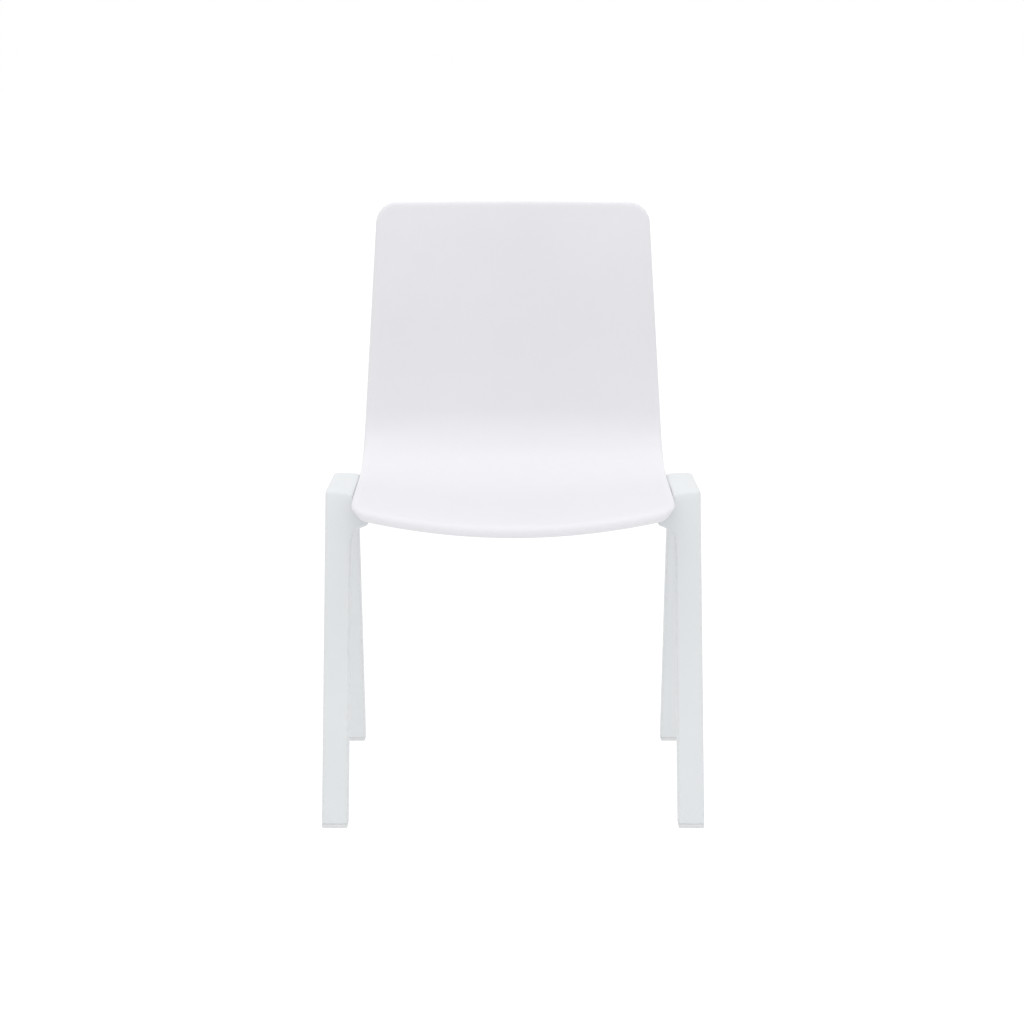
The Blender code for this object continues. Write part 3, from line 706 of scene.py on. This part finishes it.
LEG_COLUMNS, RAIL_COLUMNS = (0, 1, 2, 6, 7, 8), (3, 4, 5)
FRAME_CELLS = {(i, j, k) for i in range(3) for j in LEG_COLUMNS for k in range(TOP)}
FRAME_CELLS |= {(i, j, k) for i in range(3) for j in RAIL_COLUMNS for k in range(UNDER, TOP)}
FRAME_CELLS |= {(i, j, k) for i in (3, 4) for j in LEG_COLUMNS for k in range(UNDER, ARM_TOP_ROW)}


def block(low, high):
    outline = ((low.x, low.y), (high.x, low.y), (high.x, high.y), (low.x, high.y))
    return ring_stack([[Vector((x, y, z)) for x, y in outline] for z in (low.z, high.z)])


def pair_of_screws(side, bar):
    """Where the two screws at one end of a crossbar stand."""
    x = side * (INNER_X - SCREW_PAIR_INSET)
    return [Vector((x, bar["y"] + offset * SCREW_PAIR_SPACING / 2)) for offset in (-1, 1)]


FRAME_WHITE = (0.670, 0.690, 0.702)
# The frame's edges get the same painted edge shade as the shell's.
frame_plastic = moulded_plastic("matt_white_polyamide", FRAME_WHITE, 1250.0, 0.52)
for side_name, side in (("left", -1), ("right", 1)):
    name = f"{side_name}_frame"
    cage = caged_solid(FRAME_CELLS, lambda i, j, k: Vector((side, 1, 1)) * cage_point(i, j, k))
    side_frame = link(name, mesh_from(name, cage), frame_plastic)
    smoothing = side_frame.modifiers.new("smoothing", "SUBSURF")
    smoothing.levels = smoothing.render_levels = 3
    settle(side_frame)
    cuts = []
    for bar in BARS.values():
        near, far = sorted((side * (ARM_TIP_X - POCKET_OVERRUN), side * (bar["end"] + FIT)))
        half = bar["half_width"] + FIT
        cuts.append(block(
            Vector((near, bar["y"] - half, bar["bottom"] - FIT)),
            Vector((far, bar["y"] + half, bar["top"] + FIT))))
        seat = bar["bottom"] - FIT - ARM_WALL
        for spot in pair_of_screws(side, bar):
            cuts.append(plug(spot, COUNTERBORE_RADIUS, seat - COUNTERBORE_REACH, seat, 32))
    cut_or_join(side_frame, cuts, "DIFFERENCE")
    shade(side_frame)
    mark_edges(side_frame, 0.0032, 2)
    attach(side_frame, "root")
    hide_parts(f"{side_name}_side_frame")


# ---------------------------------------------------------------- glides
# A nylon glide closes the foot of each leg. It carries the leg's shape to the
# floor and stands 0.3 mm in from the leg's faces. The real one is pushed in on a
# spigot, which is hidden in the leg and left out here.

GLIDE_CORNER = 0.0030
GLIDE_EDGE = 0.0016
GLIDE_TOP_EDGE = 0.0001
GLIDE_GAP = 0.00005
GLIDE_TOP = LEG_BOTTOM - GLIDE_GAP
CORNER_STEPS = 8
EDGE_STEPS = 5
LEAST_CORNER = 0.0002


def rounded_rectangle(centre, half_x, half_y, radius, z):
    """A ring of points round a rectangle with round corners."""
    ring = []
    for quarter, (sx, sy) in enumerate(((1, 1), (-1, 1), (-1, -1), (1, -1))):
        for step in range(CORNER_STEPS + 1):
            turn = math.pi / 2 * (quarter + step / CORNER_STEPS)
            ring.append(Vector((
                centre.x + sx * (half_x - radius) + radius * math.cos(turn),
                centre.y + sy * (half_y - radius) + radius * math.sin(turn), z)))
    return ring


def block_rings(low, high, corner, bottom_edge, top_edge, lean=0.0):
    """Rings up a block with round corners and rounded bottom and top edges; lean is its slope in Y."""
    half, middle = (high - low) / 2, (high + low) / 2
    levels = []
    for step in range(EDGE_STEPS + 1):
        turn = math.pi / 2 * step / EDGE_STEPS
        for end, edge in ((low.z, bottom_edge), (high.z, -top_edge)):
            levels.append((end + edge * (1 - math.sin(turn)), abs(edge) * (1 - math.cos(turn))))
    return [rounded_rectangle(
        Vector((middle.x, middle.y + lean * (z - middle.z))), half.x - inset, half.y - inset,
        max(corner - inset, LEAST_CORNER), z) for z, inset in sorted(levels)]


nylon = Finish("white_nylon", 0.5)
height = nylon.part_of("Z")
# Patches that are darker, rougher and bumpier towards the bottom of each glide, over its lowest 3.4 mm.
nylon_low_patches = (nylon.noise(420.0, 4.0).step(0.42, 0.66) * (1 - height.step(0.0002, 0.0034))).clipped()
nylon_base = nylon.blend(nylon.noise(60.0, 2.0), (0.62, 0.635, 0.645), (0.66, 0.672, 0.680))
nylon_base = nylon.blend(nylon_low_patches * 0.45, nylon_base, (0.42, 0.42, 0.41))
nylon.set(
    Base_Color=nylon_base, Roughness=(0.46 + nylon.noise(900.0) * 0.10 + nylon_low_patches * 0.2).clipped(),
    Normal=nylon.relief(nylon.noise(1700.0) * 0.6 + nylon_low_patches, 0.00008, 0.6))
for place, edges, outer_edge in (("front", (0, 1), 0), ("rear", (2, 3), 3)):
    at_floor, at_leg = leg_lines(0.0), leg_lines(GLIDE_TOP)
    lean = (at_leg[outer_edge] - at_floor[outer_edge]) / GLIDE_TOP
    middle_y = sum(at_floor[edge] for edge in edges) / 2 + lean * GLIDE_TOP / 2
    half_y = LEG_FOOT_DEPTH / 2 - FIT
    for side_name in ("left", "right"):
        node = f"{place}_{side_name}_glide"
        low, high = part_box(node)
        rings = block_rings(
            Vector((low.x, middle_y - half_y, 0.0)), Vector((high.x, middle_y + half_y, GLIDE_TOP)),
            GLIDE_CORNER, GLIDE_EDGE, GLIDE_TOP_EDGE, lean)
        glide = link(f"{place}_{side_name}_foot_glide", mesh_from(node, ring_stack(rings)), nylon.material)
        shade(glide)
        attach(glide, "root")
        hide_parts(node)


# ---------------------------------------------------------------- crossbars
# Two flat steel bars, powder coated white, run under the seat from arm to arm.
# Their ends slide into pockets in the arms, and the shell is screwed down to them.

BAR_CORNER = 0.006
BAR_EDGE = 0.0010
SCREW_HOLE_RADIUS = 0.0033

coat = Finish("white_powder_coat", 0.42)
peel = coat.noise(420.0, 2.0)
fine_peel = coat.noise(1900.0, 1.0)
coat_rub = (coat.mark("edge") * coat.noise(220.0, 3.0).step(0.45, 0.7)).clipped()
coat_base = coat.blend(coat.noise(9.0, 2.0).step(0.3, 0.7), (0.640, 0.650, 0.660), (0.668, 0.676, 0.686))
coat.set(
    Base_Color=coat.blend(coat_rub * 0.5, coat_base, (0.56, 0.57, 0.58)),
    Roughness=(0.34 + peel * 0.12 + coat_rub * 0.1).clipped(),
    Normal=coat.relief(peel * 0.8 + fine_peel * 0.2, 0.00012, 0.5))
for place, bar in BARS.items():
    node = f"{place}_crossbar"
    low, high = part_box(node)
    rings = block_rings(low, high, BAR_CORNER, BAR_EDGE, BAR_EDGE)
    crossbar = link(f"{place}_bar", mesh_from(node, ring_stack(rings)), coat.material)
    spots = [Vector((side * BOSS_X, bar["y"])) for side in (-1, 1)]
    spots += [spot for side in (-1, 1) for spot in pair_of_screws(side, bar)]
    cut_or_join(crossbar, [
        plug(spot, SCREW_HOLE_RADIUS, low.z - DRILL_OVERRUN, high.z + DRILL_OVERRUN, 32)
        for spot in spots], "DIFFERENCE")
    shade(crossbar)
    mark_edges(crossbar, 0.0010, 2)
    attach(crossbar, "root")
    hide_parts(node)


# ---------------------------------------------------------------- screws, washers and inserts
# Zinc-plated M6 button-head screws with hexagon sockets hold it together from below:
# two at each end of a crossbar, and one with a washer up into each brass insert.

WASHER_RADIUS = 0.0070
WASHER_THICKNESS = 0.0012
BAR_SCREW_LENGTH = 0.0103
SHELL_SCREW_LENGTH = 0.0160
HEAD_SIDES = 48
HEAD_RINGS = 14
TURNING_MARKS = 9000.0

zinc = Finish("bright_zinc_plate", 0.3, metallic=1.0)
zinc_cloud, zinc_grain = zinc.noise(260.0, 3.0), zinc.noise(2600.0, 2.0)
zinc.set(
    Base_Color=zinc.blend(zinc_cloud.step(0.3, 0.7), (0.56, 0.58, 0.60), (0.70, 0.70, 0.69)),
    Roughness=(0.22 + zinc_cloud * 0.16 + zinc_grain * 0.08).clipped(),
    Normal=zinc.relief(zinc_grain, 0.00003, 0.5))
brass = Finish("turned_brass", 0.3, metallic=1.0)
marks = brass.part_of("Z") * TURNING_MARKS
brass_rings = marks.math("SINE", marks)
brass.set(
    Base_Color=brass.blend(brass.noise(300.0, 2.0), (0.72, 0.53, 0.24), (0.82, 0.64, 0.33)),
    Roughness=(0.26 + brass.noise(800.0, 2.0) * 0.15).clipped(),
    Normal=brass.relief(brass_rings, 0.00002, 0.6))


def fixing_tree(name, sizes):
    """An empty geometry tree with a size input for each name."""
    tree = bpy.data.node_groups.new(name, "GeometryNodeTree")
    tree.interface.new_socket("Geometry", in_out="INPUT", socket_type="NodeSocketGeometry")
    tree.interface.new_socket("Geometry", in_out="OUTPUT", socket_type="NodeSocketGeometry")
    for size in sizes:
        tree.interface.new_socket(size, in_out="INPUT", socket_type="NodeSocketFloat")
    tree.interface.new_socket("Finish", in_out="INPUT", socket_type="NodeSocketMaterial")
    work = Work(tree)
    group_in = tree.nodes.new("NodeGroupInput")
    return work, {socket.name: Wire(work, socket) for socket in group_in.outputs if socket.name}


def finish_tree(work, sizes, piece):
    """Put the piece on every point, as one plain mesh in its finish."""
    placed = work.node("GeometryNodeInstanceOnPoints", {}, sizes["Geometry"], Instance=piece)
    real = work.node("GeometryNodeRealizeInstances", {}, placed)
    finished = work.node("GeometryNodeSetMaterial", {}, real, Material=sizes["Finish"])
    group_out = work.tree.nodes.new("NodeGroupOutput")
    work.tree.links.new(finished.socket, group_out.inputs[0])
    return work.tree


def drum(work, radius, bottom, top, sides=32):
    """A closed cylinder standing between two heights."""
    made = work.node("GeometryNodeMeshCylinder", {}, Vertices=sides, Radius=radius, Depth=top - bottom)
    lift = work.node("ShaderNodeCombineXYZ", {}, Z=(top + bottom) * 0.5)
    return work.node("GeometryNodeTransform", {}, made, Translation=lift)


def without(work, body, hole):
    """A body with a hole cut in it."""
    settings = {"operation": "DIFFERENCE", "solver": "EXACT"}
    return work.node("GeometryNodeMeshBoolean", settings, Mesh_1=body, Mesh_2=hole)


def together(work, kind, settings, socket, *parts):
    """A node that takes several meshes on one socket."""
    made = work.tree.nodes.new(kind)
    for key, value in settings.items():
        setattr(made, key, value)
    for part in parts:
        work.tree.links.new(part.socket, made.inputs[socket])
    return Wire(work, made.outputs[0])


def button_screw_tree():
    """A button-head screw hanging head down from each point, its head's seat at the point."""
    work, size = fixing_tree("button_head_screws", (
        "Head Radius", "Head Height", "Head Flat", "Shank Radius", "Shank Length", "Socket Radius",
        "Socket Depth"))
    grid = work.node("GeometryNodeMeshGrid", {}, 1.0, 1.0, HEAD_SIDES + 1, HEAD_RINGS + 1)
    position = work.node("GeometryNodeInputPosition", {})
    turn = (work.node("ShaderNodeSeparateXYZ", {}, position, output="X") + 0.5) * math.tau
    climb = (work.node("ShaderNodeSeparateXYZ", {}, position, output="Y") + 0.5) * (math.pi / 2)
    head_radius, flat = size["Head Radius"], size["Head Flat"]
    radius = flat + (head_radius - flat) * climb.math("COSINE", climb)
    radius = radius * (1 - (climb / (math.pi / 2)).step(0.97, 1.0))
    # A flat grid is rolled round into the dome of the head, closed at its crown
    around = work.node(
        "ShaderNodeCombineXYZ", {}, X=radius * turn.math("COSINE", turn), Y=radius * turn.math("SINE", turn),
        Z=climb.math("SINE", climb) * size["Head Height"] * -1.0)
    dome = work.node("GeometryNodeSetPosition", {}, grid, Position=around)
    dome = work.node("GeometryNodeMergeByDistance", {}, dome, Distance=MERGE)
    seat = work.node("GeometryNodeMeshCircle", {"fill_type": "NGON"}, HEAD_SIDES, head_radius)
    head = together(work, "GeometryNodeJoinGeometry", {}, 0, dome, seat)
    head = work.node("GeometryNodeMergeByDistance", {}, head, Distance=2 * MERGE)
    shank = drum(work, size["Shank Radius"], size["Head Height"] * -0.3, size["Shank Length"])
    union = {"operation": "UNION", "solver": "EXACT"}
    body = together(work, "GeometryNodeMeshBoolean", union, "Mesh 2", head, shank)
    socket_top = size["Socket Depth"] - size["Head Height"]
    socket = drum(work, size["Socket Radius"], size["Head Height"] * -1.5, socket_top, 6)
    return finish_tree(work, size, without(work, body, socket))


def washer_tree():
    """A flat washer standing on each point."""
    work, size = fixing_tree("washers", ("Outer Radius", "Hole Radius", "Thickness"))
    plate = drum(work, size["Outer Radius"], 0.0, size["Thickness"], 48)
    hole = drum(work, size["Hole Radius"], size["Thickness"] * -1.0, size["Thickness"] * 2.0, 48)
    return finish_tree(work, size, without(work, plate, hole))


def place_fixings(name, tree, points, sizes, finish, nodes):
    """Run a tree on its points and keep the result as one plain piece."""
    mesh = bpy.data.meshes.new(name)
    mesh.from_pydata(points, [], [])
    piece = link(name, mesh)
    modifier = piece.modifiers.new("fixings", "NODES")
    modifier.node_group = tree
    for item in tree.interface.items_tree:
        if item.in_out == "INPUT" and item.name in sizes:
            modifier[item.identifier] = sizes[item.name]
        elif item.in_out == "INPUT" and item.name == "Finish":
            modifier[item.identifier] = finish
    settle(piece)
    shade(piece)
    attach(piece, "root")
    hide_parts(*nodes)


screw_sizes = {
    "Head Radius": 0.0055, "Head Height": 0.0030, "Head Flat": 0.0028, "Shank Radius": 0.0029,
    "Socket Radius": 0.0023, "Socket Depth": 0.0020}
CORNERS = [f"{place}_{side_name}" for place in BARS for side_name in ("left", "right")]
bar_points = [Vector((*spot, bar["bottom"] - 2 * FIT - ARM_WALL))
              for bar in BARS.values() for side in (-1, 1) for spot in pair_of_screws(side, bar)]
shell_points = [Vector((side * BOSS_X, bar["y"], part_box("front_left_shell_washer")[0].z - FIT))
                for bar in BARS.values() for side in (-1, 1)]
washer_points = [point + Vector((0.0, 0.0, FIT)) for point in shell_points]
screws = button_screw_tree()
place_fixings(
    "bar_screws", screws, bar_points, {**screw_sizes, "Shank Length": BAR_SCREW_LENGTH},
    zinc.material,
    [f"{corner}_bar_screw_{number}" for corner in CORNERS for number in (1, 2)])
place_fixings(
    "shell_screws", screws, shell_points, {**screw_sizes, "Shank Length": SHELL_SCREW_LENGTH},
    zinc.material,
    [f"{corner}_shell_screw" for corner in CORNERS])
place_fixings(
    "shell_washers", washer_tree(), washer_points,
    {"Outer Radius": WASHER_RADIUS, "Hole Radius": SCREW_HOLE_RADIUS, "Thickness": WASHER_THICKNESS},
    zinc.material,
    [f"{corner}_shell_washer" for corner in CORNERS])
for corner in CORNERS:
    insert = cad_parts[f"{corner}_shell_insert"]
    insert.data.materials.clear()
    insert.data.materials.append(brass.material)


# ---------------------------------------------------------------- floor, light and camera
# A plain white floor that glows by itself, so that it shows no shadow, under an even
# white sky, with a wide soft light above and a weaker one in front, and a long lens.

FLOOR_HALF = 40.0
FLOOR_GLOW = 1.02
WHITE = (1.0, 1.0, 1.0, 1.0)

floor_paper = Finish("studio_paper", 0.9)
floor_paper.shader.inputs["Emission Color"].default_value = WHITE
floor_paper.shader.inputs["Emission Strength"].default_value = FLOOR_GLOW
floor_paper.shader.inputs["Specular IOR Level"].default_value = 0.0
floor_paper.set(Base_Color=floor_paper.blend(
    floor_paper.noise(30.0, 3.0), (0.05, 0.05, 0.05), (0.06, 0.06, 0.06)))
floor_mesh = bpy.data.meshes.new("floor")
floor_mesh.from_pydata(
    [(FLOOR_HALF * x, FLOOR_HALF * y, 0.0) for x, y in ((-1, -1), (1, -1), (1, 1), (-1, 1))],
    [], [(0, 1, 2, 3)])
floor = link("floor", floor_mesh, floor_paper.material)

world = bpy.data.worlds.new("studio")
bpy.context.scene.world = world
world.use_nodes = True
sky = world.node_tree.nodes["Background"]
sky.inputs["Color"].default_value = WHITE
sky.inputs["Strength"].default_value = 1.0


def softbox(name, place, aim, size, power):
    """A rectangular light that faces its aim and isn't seen itself."""
    lamp = bpy.data.lights.new(name, "AREA")
    lamp.shape = "RECTANGLE"
    lamp.size, lamp.size_y = size
    lamp.energy = power
    holder = bpy.data.objects.new(name, lamp)
    bpy.context.scene.collection.objects.link(holder)
    holder.location = place
    holder.rotation_euler = (Vector(aim) - Vector(place)).to_track_quat("-Z", "Y").to_euler()
    holder.visible_camera = False


softbox("overhead", (0.0, 0.1, 2.5), (0.0, 0.0, 0.4), (1.8, 1.8), 14.5)
softbox("front", (0.0, -3.4, 1.0), (0.0, 0.0, 0.5), (3.0, 1.6), 6.0)

camera_data = bpy.data.cameras.new("camera")
camera_data.sensor_width = 36.0
camera_data.lens = 104.45
camera = bpy.data.objects.new("camera", camera_data)
bpy.context.scene.collection.objects.link(camera)
camera.location = (-0.0015, -4.2635, 1.1105)
camera.rotation_euler = (math.radians(80.5), 0.0, 0.0)
bpy.context.scene.camera = camera
bpy.context.scene.view_settings.view_transform = "Standard"
